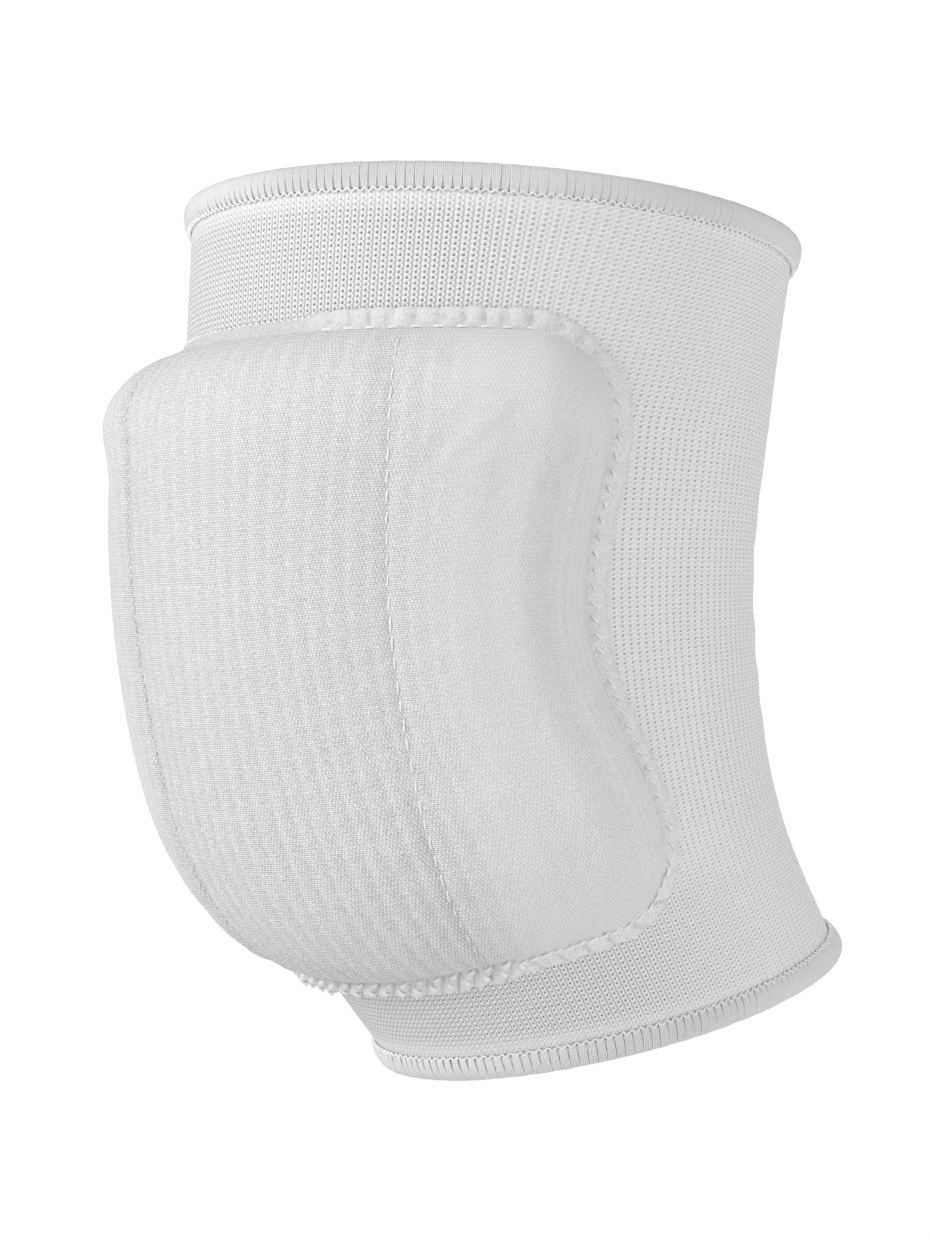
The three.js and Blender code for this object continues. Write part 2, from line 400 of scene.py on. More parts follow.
beside_pad = ease(50, 62, side) * ease(0.14, 0.3, height_share) * ease(0.84, 0.74, height_share)
near_pad = beside_pad * (1 - 0.6 * ease(80, 130, side))
above = ease(0.76, 0.82, height_share) * ease(62, 32, side)
below = ease(0.22, 0.15, height_share) * ease(110, 45, side)
off_hems = ease(0.024, 0.045, height_share) * ease(0.976, 0.955, height_share)
# The relief share both raises the loops and paints the knit paler where they stand out, as painted light. The
# open, net and groove shares also set where the painted shade of openings and grooves falls.
knit_rows = [
    dict(name="open", plain=0.22, near_pad=0.25, above=0.78, below=0.75, at_hems=0.35),
    dict(name="net", plain=0.2, near_pad=0.0, above=0.65, below=0.6, at_hems=0.35),
    dict(name="groove", plain=0.28, near_pad=-0.15, above=0.72, below=0.72, at_hems=0.35),
    dict(name="relief", plain=0.3, near_pad=0.1, above=0.7, below=0.65, at_hems=1.0),
]
for row in knit_rows:
    share = row["plain"] + row["near_pad"] * near_pad + row["above"] * above + row["below"] * below
    hem_share = row["at_hems"] + (1 - row["at_hems"]) * off_hems
    give_values(knit_sleeve, row["name"], np.clip(share, 0, 1) * hem_share)
knit_sleeve.data.materials.append(cloth_material("WhiteElasticKnit", knit_finish))
hang(knit_sleeve, "root", "knit", "knit_sleeve")


# Padded cover: fine white jersey over a slab of foam, one piece sewn down all round its edge. Two rows
# of stitches part it into a wide cell over the kneecap and shin and a narrower cell on each side.
pad_wrap = 75  # degrees to each side of the shin line
thigh_band, calf_band = 27 * MM, 22 * MM  # knit left bare above and below the pad
thigh_corner, calf_corner = 22 * MM, 18 * MM
hem_bow, hem_bow_power = 7 * MM, 1.5
cover_edge, seat_gap = 1.3 * MM, 0.4 * MM
knee_foam, shin_foam = 15.2 * MM, 17.5 * MM
shin_foam_end, knee_foam_start = 0.1, 0.7
side_round, thigh_round, calf_round = 22 * MM, 15 * MM, 41 * MM
side_fullness, hem_fullness = 0.7, 0.5
seam_angle, seam_width = 28.5, 6
seam_dip = 0.05  # share of the foam's thickness that a seam pulls in
rib_pitch = 3.95 * MM
side_length = math.radians(girth_rows[2]["side"])  # one degree round the leg, at the knee

reach_rows = [
    dict(along=0.0, reach=0.945),
    dict(along=0.25, reach=1.0),
    dict(along=0.54, reach=0.86),
    dict(along=0.78, reach=0.925),
    dict(along=1.0, reach=0.925),
]


def corner_drop(from_side, radius):
    into = np.clip(radius - from_side, 0, radius)
    return radius - np.sqrt(radius**2 - into**2)


def pad_limits(across):
    """How far along the leg the pad starts and ends, and the distance from the pad's side edge."""
    from_side = (1 - np.abs(across)) * pad_wrap * side_length
    top = thigh_band + corner_drop(from_side, thigh_corner)
    bottom = calf_band + hem_bow * np.abs(across) ** hem_bow_power + corner_drop(from_side, calf_corner)
    return bottom / tube_length, 1 - top / tube_length, from_side


shin_bottom, shin_top, _ = pad_limits(0.0)
pad_length = (shin_top - shin_bottom) * tube_length


def pad_place(across, up):
    bottom, top, _ = pad_limits(across)
    along = bottom + (top - bottom) * up
    return across * pad_wrap * smooth_through(reach_rows, "reach", along), along


def rounded_rise(distance, radius, fullness):
    return (1 - np.clip(1 - distance / radius, 0, 1) ** 2) ** fullness


def foam_depth(across, up):
    from_side = pad_limits(across)[2]
    angle = pad_place(across, up)[0]
    thickness = shin_foam + (knee_foam - shin_foam) * ease(shin_foam_end, knee_foam_start, up)
    thickness = thickness * rounded_rise(from_side, side_round, side_fullness)
    thickness = thickness * rounded_rise((1 - up) * pad_length, thigh_round, hem_fullness)
    thickness = thickness * rounded_rise(up * pad_length, calf_round, hem_fullness)
    off_seam = np.clip(np.abs(np.abs(angle) - seam_angle) / seam_width, 0, 1)
    return thickness * (1 - seam_dip * (1 - off_seam) ** 2)


def cover_points(across, up):
    angle, along = pad_place(across, up)
    return off_tube(angle, along, seat_gap + cover_edge + foam_depth(across, up))


def refine(values, rows, columns):
    """A grid of values at more places, on smooth curves through the given ones."""
    for axis, count in ((0, rows), (1, columns)):
        values = np.moveaxis(values, axis, 0)
        at = np.linspace(0, len(values) - 1, count)
        i = np.minimum(at.astype(int), len(values) - 2)
        x = (at - i).reshape((-1,) + (1,) * (values.ndim - 1))
        before, after = values[np.maximum(i - 1, 0)], values[np.minimum(i + 2, len(values) - 1)]
        slopes = (values[i + 1] - before) / 2, (after - values[i]) / 2
        values = curve_between(x, values[i], values[i + 1], *slopes)
        values = np.moveaxis(values, 0, axis)
    return values


def grid_faces(rows, columns, first=0):
    i, j = grid_numbers(rows - 1, columns - 1)
    corner = first + i * columns + j
    return np.stack([corner, corner + 1, corner + columns + 1, corner + columns], axis=1)


settling_rows, settling_columns, settling_frames = 61, 97, 20
foam_pressure, jersey_slack = 4, 0.012
settled_most, settled_share = 3 * MM, 0.35  # the whole of it leaves slanting folds in the narrow cells


def swell(rows, columns):
    """How far the cover's jersey moves as foam presses it outward, held at its edge and seams."""
    across, up = np.meshgrid(np.linspace(-1, 1, columns), np.linspace(0, 1, rows))
    front = cover_points(across, up)
    angle, along = pad_place(across, up)
    held = np.zeros((rows, columns), bool)
    held[[0, -1], :] = held[:, [0, -1]] = True
    held |= np.abs(np.abs(angle) - seam_angle) < pad_wrap / columns
    back = off_tube(angle, along, np.full(angle.shape, seat_gap))
    faces = np.concatenate([grid_faces(rows, columns), grid_faces(rows, columns, rows * columns)[:, ::-1]])
    cloth_piece = new_piece("SettlingCloth", np.stack([front, back]), faces.tolist())
    pins = cloth_piece.vertex_groups.new(name="held")
    pins.add(np.flatnonzero(np.append(held.ravel(), np.ones(held.size, bool))).tolist(), 1.0, "REPLACE")
    cloth = cloth_piece.modifiers.new("Settle", "CLOTH")
    cloth.settings.vertex_group_mass = "held"
    cloth.settings.use_pressure = True
    cloth.settings.uniform_pressure_force = foam_pressure
    cloth.settings.shrink_min = -jersey_slack
    cloth.settings.effector_weights.gravity = 0
    cloth.point_cache.frame_end = settling_frames
    for frame_number in range(1, settling_frames + 1):
        bpy.context.scene.frame_set(frame_number)
    settled = cloth_piece.evaluated_get(bpy.context.evaluated_depsgraph_get()).data
    places = np.empty(len(settled.vertices) * 3)
    settled.vertices.foreach_get("co", places)
    moved = places.reshape(2, rows, columns, 3)[0] - front
    bpy.data.objects.remove(cloth_piece)
    bpy.context.scene.frame_set(1)
    length = np.linalg.norm(moved, axis=-1, keepdims=True)
    return moved * np.minimum(1, settled_most / np.maximum(length, 1e-9))


cover_columns, cover_rows = 401, 211
across, up = np.meshgrid(np.linspace(-1, 1, cover_columns), np.linspace(0, 1, cover_rows))
cover_angle, cover_along = pad_place(across, up)
bottom_limit, top_limit, from_side = pad_limits(across)
fabric_across = across * pad_wrap * side_length
fabric_up = up * pad_length
from_top = (1 - up) * (top_limit - bottom_limit) * tube_length
from_bottom = up * (top_limit - bottom_limit) * tube_length
edge_fade = ease(0, 5 * MM, np.minimum(np.minimum(from_side, from_top), from_bottom))
outside_length = 1.1 * side_length  # one degree on the outside of the foam
off_seam = (np.abs(cover_angle) - seam_angle) * outside_length


def soft_wave(seed, *pitches):
    """A slow uneven wave over the pad, from -1 to 1, the same at each run."""
    phases = np.random.default_rng(seed).uniform(0, 2 * math.pi, len(pitches))
    total = sum(
        np.sin(2 * math.pi * (fabric_across / along_x + fabric_up / along_y) + phase)
        for (along_x, along_y), phase in zip(pitches, phases)
    )
    return total / len(pitches)


uneven = soft_wave(3, (31 * MM, 90 * MM), (-47 * MM, 60 * MM), (23 * MM, -120 * MM))
ribbed = ease(17 * MM, -1 * MM, off_seam)
rib_strength = (0.14 + 0.86 * ribbed) * (0.6 + 0.4 * ease(0.7, 0.2, up))
ribs = np.cos(2 * math.pi * (fabric_across / rib_pitch + 0.12 * uneven))
fine_ribs = np.cos(4 * math.pi * (fabric_across / rib_pitch + 0.08 * uneven) + 0.9)
pleat_pitch, pleat_slant = 2.05 * MM, 0.25
pleats = np.cos(2 * math.pi * (fabric_across - pleat_slant * fabric_up) / pleat_pitch)
pleat_strength = ease(15 * MM, 5 * MM, from_bottom) * ease(12, -2, cover_angle) * ease(-66, -50, cover_angle)
fold_rows = [
    dict(from_side=8.5 * MM, width=2.6 * MM, height=0.45),
    dict(from_side=13.5 * MM, width=2.8 * MM, height=-0.4),
    dict(from_side=19 * MM, width=3.2 * MM, height=0.3),
    dict(from_side=25 * MM, width=3.5 * MM, height=-0.25),
]
folds = sum(row["height"] * ridge(from_side, row["from_side"], row["width"]) for row in fold_rows)
side_fold = ease(0.05, 0.2, up) * ease(0.97, 0.82, up)
edge_rib_pitch = 2.1 * MM
edge_rib_zone = ease(1 * MM, 3 * MM, from_side) * ease(17 * MM, 9 * MM, from_side)
edge_ribs = np.cos(2 * math.pi * from_side / edge_rib_pitch) * edge_rib_zone
stitch_pitch = 4.4 * MM
stitch_dimples = 0.5 + 0.5 * np.cos(2 * math.pi * fabric_up / stitch_pitch)
left_seam = ease(0, -10, cover_angle)
seam_groove = (
    ridge(off_seam, 0, 0.8 * MM) * (0.08 + 0.08 * stitch_dimples)
    + ridge(off_seam, 0, 2.4 * MM) * 0.2
    + ridge(off_seam, 0, 0.9 * MM) * (0.5 + 0.4 * stitch_dimples) * left_seam
    + ridge(off_seam, 0, 2.6 * MM) * (0.3 + 2.4 * ease(0.35, 0.06, up)) * left_seam
)
relief = (
    0.11 * rib_strength * ribs
    + 0.05 * rib_strength * fine_ribs
    + 0.2 * pleat_strength * pleats
    + side_fold * folds * (0.8 + 0.2 * uneven)
    + 0.07 * edge_ribs * side_fold
    + 0.22 * uneven
    + 1.8 * ease(-12, -42, cover_angle) * ridge(from_top, 9 * MM, 7 * MM)
    - seam_groove
) * edge_fade * MM
cover_skin = cover_points(across, up) + tube_frame(cover_angle, cover_along)[2] * relief[..., None]
settling = swell(settling_rows, settling_columns)
cover_skin += refine(settling, cover_rows, cover_columns) * settled_share

back_step_up, back_step_across = 15, 20
in_back = np.zeros(across.shape, bool)
in_back[[0, -1], :] = in_back[:, [0, -1]] = True
in_back[::back_step_up, ::back_step_across] = True
back_number = np.full(across.shape, -1)
back_number[in_back] = across.size + np.arange(in_back.sum())
cover_back = off_tube(cover_angle[in_back], cover_along[in_back], np.full(in_back.sum(), seat_gap))
cover_faces = grid_faces(cover_rows, cover_columns).tolist()
front_number = np.arange(across.size).reshape(across.shape)


def border_of(numbers):
    """The numbers round the rim of a grid, in order."""
    return np.concatenate([numbers[0, :-1], numbers[:-1, -1], numbers[-1, :0:-1], numbers[:0:-1, 0]])


front_rim, back_rim = border_of(front_number), border_of(back_number)
cover_faces += np.stack([back_rim, np.roll(back_rim, -1), np.roll(front_rim, -1), front_rim], axis=1).tolist()
for row in range(0, cover_rows - 1, back_step_up):
    for column in range(0, cover_columns - 1, back_step_across):
        cell = border_of(back_number[row : row + back_step_up + 1, column : column + back_step_across + 1])
        cover_faces.append(cell[cell >= 0][::-1].tolist())
cover_uv = np.stack([fabric_across, fabric_up], axis=-1) / MM
cover_uv = np.concatenate([cover_uv.reshape(-1, 2), cover_uv[in_back]])
pad_cover = new_piece(
    "PadCover",
    np.concatenate([cover_skin.reshape(-1, 3), cover_back]),
    cover_faces,
    cover_uv[np.concatenate([np.array(face) for face in cover_faces])],
)
# Painted shade: the cover is painted darker down in its seam grooves and in the valleys of its side folds,
# and along the left seam in a dashed dark line, as the shade there.
painted_valley_shade = np.clip(seam_groove + 0.35 * side_fold * -folds, 0, 1)
seam_shade = ridge(off_seam, 0, 0.5 * MM) * (0.35 + 0.65 * (1 - stitch_dimples))
painted_valley_shade = painted_valley_shade + 4 * ease(0.9, 0.6, up) * left_seam * seam_shade
# Painted light and shade: the cover is painted paler on the crowns of its ribs and darker between them, and
# paler over its lower part, near its side edges and near its top, as light falls there.
painted_light_and_shade = rib_strength * (0.95 * ribs + 0.25 * fine_ribs) + 0.5 * edge_ribs * side_fold
painted_light_and_shade = painted_light_and_shade + 1.35 * ease(0.62, 0.25, up) - 0.45
painted_light_and_shade = painted_light_and_shade + 1.5 * ease(17 * MM, 3 * MM, np.minimum(from_side, 0.6 * from_top))
# This sets how strongly the jersey's weave shows. It also sets how much the jersey is painted darker with the
# small shade of its ribs, most in the ribbed middle and low down.
grain_and_rib_shade = (0.5 + 0.5 * ribbed) * (1 + 0.35 * ease(0.6, 0.2, up))
for name, values in (("painted_valley_shade", painted_valley_shade), ("painted_light_and_shade", painted_light_and_shade), ("grain_and_rib_shade", grain_and_rib_shade)):
    give_values(pad_cover, name, np.append(values.ravel(), np.zeros(in_back.sum())))

jersey_columns, jersey_row_pairs = 1.44, 1.28  # to a millimetre of cloth


def jersey_finish(wire):
    """Fine jersey of uneven yarn: staggered rows of small loops, in pairs of rows."""
    across, along = wire.cloth_axes()
    strength = wire.attribute("grain_and_rib_shade")
    bowed = along * jersey_row_pairs + wire.mottle(14 * MM) * 0.5
    loops = (across * (jersey_columns * 2 * math.pi)).cosine() * (bowed * math.pi).cosine()
    pairs = (bowed * (2 * math.pi)).cosine()
    rows = (bowed * (4 * math.pi)).cosine()
    spun = wire.mottle(0.42 * MM, 0.75) - 0.5
    cloudy = wire.mottle(9 * MM) - 0.5
    weave = (loops * 0.12 + pairs * 0.03 + rows * 0.12 + spun * 0.85) * strength
    # Painted shade: the jersey is painted darker where its ribbed grain is strong. The cover's painted light
    # and shade and its painted valley shade are then added.
    lightness = 0.81 - strength * 0.05 + weave + cloudy * 0.03
    lightness = lightness + wire.attribute("painted_light_and_shade") * 0.036 - wire.attribute("painted_valley_shade") * 0.07
    return lightness, weave * (0.25 * MM), 0.86 - spun * 0.1


pad_cover.data.materials.append(cloth_material("WhiteJersey", jersey_finish))
hang(pad_cover, "root", "cover", "pad_cover")


# Quilting seams: two rows of white sewing thread down the pad, one on each side of the shin. They go
# through jersey and foam, and the thread shows as slanting dashes that pull the cloth in.
def thread_tree(name, path_object, material):
    """Lays sewn threads at points, each with its own turn and stretch, from the lines of one thread."""
    tree = bpy.data.node_groups.new(name, "GeometryNodeTree")
    sockets = tree.interface
    sockets.new_socket("Places", in_out="INPUT", socket_type="NodeSocketGeometry")
    sizes = {
        "Thread Radius": ("NodeSocketFloat", 0.2 * MM),
        "Thread Sides": ("NodeSocketInt", 5),
        "Unevenness": ("NodeSocketFloat", 0.08),
        "Seed": ("NodeSocketInt", 7),
    }
    for label, (kind, value) in sizes.items():
        sockets.new_socket(label, in_out="INPUT", socket_type=kind).default_value = value
    sockets.new_socket("Threads", in_out="OUTPUT", socket_type="NodeSocketGeometry")
    wire = Wire(tree)
    asked = tree.nodes.new("NodeGroupInput")
    given = {socket.name: Wire(tree, socket) for socket in asked.outputs}
    lines = wire.node("GeometryNodeObjectInfo", {"Object": path_object}, output="Geometry")
    curves = wire.node("GeometryNodeMeshToCurve", {"Mesh": lines})
    ring = wire.node(
        "GeometryNodeCurvePrimitiveCircle",
        {"Resolution": given["Thread Sides"], "Radius": given["Thread Radius"]},
    )
    threads = wire.node(
        "GeometryNodeCurveToMesh", {"Curve": curves, "Profile Curve": ring, "Fill Caps": True}
    )
    turn_each = wire.node("GeometryNodeInputNamedAttribute", {"Name": "turn"}, data_type="FLOAT_VECTOR")
    stretch = wire.node("GeometryNodeInputNamedAttribute", {"Name": "stretch"}, data_type="FLOAT_VECTOR")
    chance = wire.node(
        "FunctionNodeRandomValue",
        {"Min": 1 - given["Unevenness"], "Max": 1 + given["Unevenness"], "Seed": given["Seed"]},
        output="Value",
        data_type="FLOAT",
    )
    size_each = wire.node("ShaderNodeVectorMath", {0: stretch, "Scale": chance}, operation="SCALE")
    laid = wire.node(
        "GeometryNodeInstanceOnPoints",
        {"Points": given["Places"], "Instance": threads, "Rotation": turn_each, "Scale": size_each},
    )
    solid = wire.node("GeometryNodeRealizeInstances", {"Geometry": laid})
    smooth = wire.node("GeometryNodeSetShadeSmooth", {"Geometry": solid})
    finished = wire.node("GeometryNodeSetMaterial", {"Geometry": smooth, "Material": material})
    wire.node("NodeGroupOutput", {"Threads": finished})
    return tree


def sew(name, lines, places, sideways, outward, stretch, material, sizes):
    """Threads on a piece: lines are points in mm (sideways, outward, and the way at right angles)."""
    path_mesh = bpy.data.meshes.new(name + "Path")
    joints, edges = [], []
    for line in lines:
        edges += [(len(joints) + i, len(joints) + i + 1) for i in range(len(line) - 1)]
        joints += [(x * MM, y * MM, z * MM) for x, y, z in line]
    path_mesh.from_pydata(joints, edges, [])
    path = bpy.data.objects.new(name + "Path", path_mesh)
    bpy.context.collection.objects.link(path)
    sewn = new_piece(name, places, [])
    sideways = unit(sideways - outward * np.sum(sideways * outward, axis=-1, keepdims=True))
    ahead = np.cross(sideways, outward)
    turns = [Matrix(np.stack(axes, axis=1).tolist()).to_euler() for axes in zip(sideways, outward, ahead)]
    for label, values in (("turn", turns), ("stretch", np.broadcast_to(stretch, (len(places), 3)))):
        layer = sewn.data.attributes.new(label, "FLOAT_VECTOR", "POINT")
        layer.data.foreach_set("vector", np.ravel(values).astype(np.float32))
    tree = thread_tree(name + "Threads", path, material)
    modifier = sewn.modifiers.new("Sewing", "NODES")
    modifier.node_group = tree
    for socket in tree.interface.items_tree:
        if socket.name in sizes:
            modifier[socket.identifier] = sizes[socket.name]
    bpy.context.view_layer.update()
    mesh = bpy.data.meshes.new_from_object(sewn.evaluated_get(bpy.context.evaluated_depsgraph_get()))
    sewn.modifiers.clear()
    sewn.data = mesh
    bpy.data.objects.remove(path)
    return sewn


def thread_finish(wire, whiteness=0.96):
    """Soft spun thread, a little fuzzy."""
    fuzz = wire.mottle(0.5 * MM, 0.7)
    lightness = whiteness + (fuzz - 0.5) * 0.16 + (wire.mottle(7 * MM) - 0.5) * 0.04
    return lightness, fuzz * (0.06 * MM), 0.8 - fuzz * 0.1


sewing_thread = cloth_material("WhiteThread", thread_finish)


def way_gone(points):
    """The way gone to each point of a row."""
    return np.append(0, np.cumsum(np.linalg.norm(np.diff(points, axis=0), axis=1)))


def even_steps(points, length):
    """Even steps of about a length on the way through a row of points, and the way gone to each point."""
    gone = way_gone(points)
    count = round(gone[-1] / length)
    return (np.arange(count) + 0.5) * gone[-1] / count, gone


seam_stitch = [
    (0.16, -0.3, -1.4), (0.1, 0.08, -1.05), (0.03, 0.18, -0.3),
    (-0.03, 0.18, 0.4), (-0.1, 0.06, 1.1), (-0.16, -0.3, 1.45),
]
seam_places, seam_ways, seam_outs = [], [], []
skin_facing = np.cross(np.gradient(cover_skin, axis=1), np.gradient(cover_skin, axis=0))
rows_at, columns_at = np.arange(4, cover_rows - 4), np.arange(cover_columns)
for side_sign in (-1, 1):
    column_at = [np.interp(side_sign * seam_angle, cover_angle[row], columns_at) for row in rows_at]
    low = np.floor(column_at).astype(int)
    part = (np.array(column_at) - low)[:, None]
    line = cover_skin[rows_at, low] * (1 - part) + cover_skin[rows_at, low + 1] * part
    at, gone = even_steps(line, stitch_pitch)
    pick = np.searchsorted(gone, at)
    seam_places.append(line[pick])
    seam_ways.append(np.gradient(line, axis=0)[pick])
    seam_outs.append(unit(skin_facing[rows_at, low])[pick])
seam_outs = np.concatenate(seam_outs)
quilting = sew(
    "QuiltingStitches",
    [seam_stitch],
    np.concatenate(seam_places),
    np.cross(seam_outs, np.concatenate(seam_ways)),
    seam_outs,
    (1, 1, 1),
    sewing_thread,
    {"Thread Radius": 0.2 * MM, "Unevenness": 0.12, "Seed": 11},
)
hang(quilting, "root", "cover")


# Edge band: a strip of soft knit folded over the raw edge of the cover and sewn to the sleeve all
# round. It puffs up between its stitches, in scallops above and slanting lobes below, creased at the side.
band_width = 5 * MM
band_places = 1600
edge_overlap = 0.15 * MM  # how far the band reaches in under the cover's rim
scallop_pitch, lobe_pitch, pinch_pitch, fold_pitch = 4.8 * MM, 3.9 * MM, 3.6 * MM, 5.5 * MM


def outline(count):
    """Even steps round the edge of the pad: the way gone, the length round, the angle, along, the way on,
    the way out from the pad and the outward direction."""
    run = np.sin(np.linspace(-math.pi / 2, math.pi / 2, 1500))
    share = np.linspace(0, 1, 700)
    low, high = np.zeros(run.shape), np.ones(run.shape)
    sides = [(run, high), (high[:700], share[::-1]), (-run, low), (-high[:700], share)]
    angle, along = pad_place(
        np.concatenate([x[:-1] for x, _ in sides]), np.concatenate([y[:-1] for _, y in sides])
    )
    angle, along = np.append(angle, angle[0]), np.append(along, along[0])
    places = tube_point(angle, along)
    gone = way_gone(places)
    at = np.arange(count) * gone[-1] / count
    angle, along = np.interp(at, gone, angle), np.interp(at, gone, along)
    places = tube_point(angle, along)
    way = sum(np.roll(places, -n, axis=0) - np.roll(places, n, axis=0) for n in (1, 2, 3, 4))
    outward = tube_frame(angle, along)[2]
    return at, gone[-1], angle, along, unit(way), unit(np.cross(outward, way)), outward


def walked(angle, along, direction, distance):
    """The place on the tube that lies a distance away in a direction."""
    per_degree, per_along, _ = tube_frame(angle, along)
    aa, ab, bb, da, db = (
        np.sum(p * q, axis=-1)
        for p, q in (
            (per_degree, per_degree),
            (per_degree, per_along),
            (per_along, per_along),
            (direction, per_degree),
            (direction, per_along),
        )
    )
    area = aa * bb - ab * ab
    return angle + (da * bb - db * ab) / area * distance, along + (db * aa - da * ab) / area * distance


gone_round, outline_length, edge_angle, edge_along, edge_way, edge_out, edge_up = outline(band_places)
facing_up = np.sum(edge_out * unit(tube_frame(edge_angle, edge_along)[1]), axis=-1)
above_pad, below_pad = ease(0.35, 0.85, facing_up), ease(-0.35, -0.8, facing_up)
beside = 1 - above_pad - below_pad
flat_top = above_pad * ease(16, 4, edge_angle) * ease(-62, -48, edge_angle)
above_pad = above_pad - flat_top
low_front = below_pad * ease(40, 29, edge_angle) * ease(-60, -46, edge_angle)
low_side = below_pad - low_front


def laps(pitch):
    """The way gone round the outline, counted in pitches, with a whole number of them in all."""
    return gone_round / outline_length * round(outline_length / pitch)


profile_across = np.array([0.0, 0.05, 0.3, 0.8, 1.3, 1.9, 2.5, 3.1, 3.7, 4.2, 4.6, 4.9, 5.1, 5.2]) * MM
profile_height = np.array([0.0, 1.3, 1.55, 1.7, 1.9, 2.05, 2.1, 2.0, 1.85, 1.7, 1.5, 1.15, 0.65, 0.0]) * MM
across_share = profile_across / profile_across[-1]
middle = np.sin(np.pi * across_share**0.9)
from_inner = profile_across[None, :]
scallop = np.abs(np.cos(np.pi * laps(scallop_pitch)))[:, None] ** 0.7
dimple_phase = laps(scallop_pitch)[:, None] + 0.25 * np.sin(2 * np.pi * laps(23 * MM))[:, None]
dimple = ridge(dimple_phase % 1, 0.5, 0.16) * ridge(from_inner, 2.6 * MM, 1.1 * MM)
lobe_phase = laps(lobe_pitch)[:, None] + 0.1 * np.sin(2 * np.pi * laps(31 * MM))[:, None]
lobe_phase = lobe_phase - 0.85 * across_share
lobe = np.abs(np.cos(np.pi * lobe_phase)) ** 0.8
crease = ridge((laps(fold_pitch)[:, None] + 0.55 * across_share) % 1, 0.5, 0.09)
crease = crease * ease(0.15, 0.35, across_share) * ease(1.0, 0.8, across_share)
pinch = ridge(laps(pinch_pitch)[:, None] % 1, 0.5, 0.13) * ridge(from_inner, 0.9 * MM, 0.6 * MM)
slow_rows = ((17 * MM, 1), (11 * MM, 4), (7 * MM, 2))
slow = sum(np.sin(2 * np.pi * laps(pitch) + lag) for pitch, lag in slow_rows)
lump_rows = ((5.3 * MM, 2.0), (3.7 * MM, -3.5), (2.6 * MM, 5.0))
lumps = sum(np.sin(2 * np.pi * laps(pitch)[:, None] + lag * across_share + lag) for pitch, lag in lump_rows)
rim_ridge = ridge(profile_across, 4.75 * MM, 0.22 * MM) - 0.8 * ridge(profile_across, 4.2 * MM, 0.3 * MM)
swelling = (
    above_pad[:, None] * (0.5 * (scallop - 0.75) - 0.55 * dimple)
    + low_front[:, None] * 0.95 * (lobe - 0.72)
    + low_side[:, None] * (-0.55 * crease + 0.18 * rim_ridge + 0.06 * lumps)
    + beside[:, None] * (-0.08 * pinch + 0.45 * rim_ridge + 0.09 * lumps)
    + 0.06 * slow[:, None]
)
smooth_hem = 1.35 * MM * (1 - across_share**1.6) * (across_share > 0)
band_lift = profile_height * (1 + 0.42 * swelling) + 0.1 * MM * middle * slow[:, None] * beside[:, None]
band_lift = band_lift * (1 + low_front * (0.7 + 0.8 * ease(10, -25, edge_angle)))[:, None]
band_lift = band_lift + (smooth_hem - band_lift) * flat_top[:, None]
edge_play = (
    1.4 * beside * ease(0.42, 0.58, edge_along)
    + 1.2 * below_pad * ease(-10, 15, edge_angle)
    + 0.3 * above_pad * (scallop[:, 0] - 0.6)
    + 0.45 * low_front * (lobe[:, -1] - 0.6)
    + 0.08 * slow
)
width_here = (1 + 0.03 * beside - 0.02 * above_pad - 0.3 * flat_top) * band_width + edge_play * MM
band_spread = across_share * width_here[:, None] - edge_overlap
under = [0.75, 0.5, 0.25]  # the underside, back towards the pad
band_spread = np.concatenate([band_spread, np.outer(width_here, under) - edge_overlap], axis=1)
band_lift = np.concatenate([band_lift, np.zeros((band_places, len(under)))], axis=1) + seat_gap
band_angle, band_along = walked(edge_angle[:, None], edge_along[:, None], edge_out[:, None, :], band_spread)
band_points = off_tube(band_angle, band_along, band_lift)
section_count = band_points.shape[1]
band_uv = np.stack(
    np.broadcast_arrays(
        np.append(gone_round, outline_length)[:, None] / MM,
        np.linspace(0, 2 * band_width, section_count + 1)[None, :] / MM,
    ),
    axis=-1,
)
edge_band = ring_piece("PadEdgeBand", band_points, band_uv)
# Painted shade: the band is painted darker in its dimples, between its scallops and lobes, in its creases and
# pinches, and over the flat hem at the top, which faces up into more light.
painted_fold_shade = (
    above_pad[:, None] * (0.7 * dimple + 0.6 * np.clip(0.5 - scallop, 0, 1))
    + low_front[:, None] * 1.5 * np.clip(0.5 - lobe, 0, 1)
    + low_side[:, None] * 0.8 * crease
    + beside[:, None] * 0.2 * pinch
    + flat_top[:, None] * 0.75
)
give_values(edge_band, "painted_valley_shade", np.concatenate([painted_fold_shade, np.zeros((band_places, len(under)))], axis=1))


soft_columns, soft_rows = 1.44, 2.6  # to a millimetre of knit


def soft_knit_finish(wire):
    """Brushed knit, closely looped and fuzzy, with a few pits painted dark as their shade, and painted darker
    down in its folds as their shade.
    """
    across, along = wire.cloth_axes()
    loops = (across * (soft_columns * 2 * math.pi)).cosine() * (along * (soft_rows * math.pi / 2)).cosine()
    rows = (along * (soft_rows * 2 * math.pi)).cosine()
    spun = wire.mottle(0.42 * MM, 0.75) - 0.5
    fuzz = wire.mottle(0.9 * MM, 0.6) - 0.5
    pits = wire.mottle(1.1 * MM, 0.6).step(0.38, 0.3)
    weave = loops * 0.05 + rows * 0.06 + spun * 0.5
    # Painted shade: the pits and the band's fold valleys darken the knit.
    lightness = 0.85 + weave + fuzz * 0.26 - pits * 0.13 - wire.attribute("painted_valley_shade") * 0.16
    return lightness, weave * (0.2 * MM) + fuzz * (0.25 * MM), 0.9 - fuzz * 0.1


edge_band.data.materials.append(cloth_material("WhiteSoftKnit", soft_knit_finish))
hang(edge_band, "root", "band", "pad_edge_band")

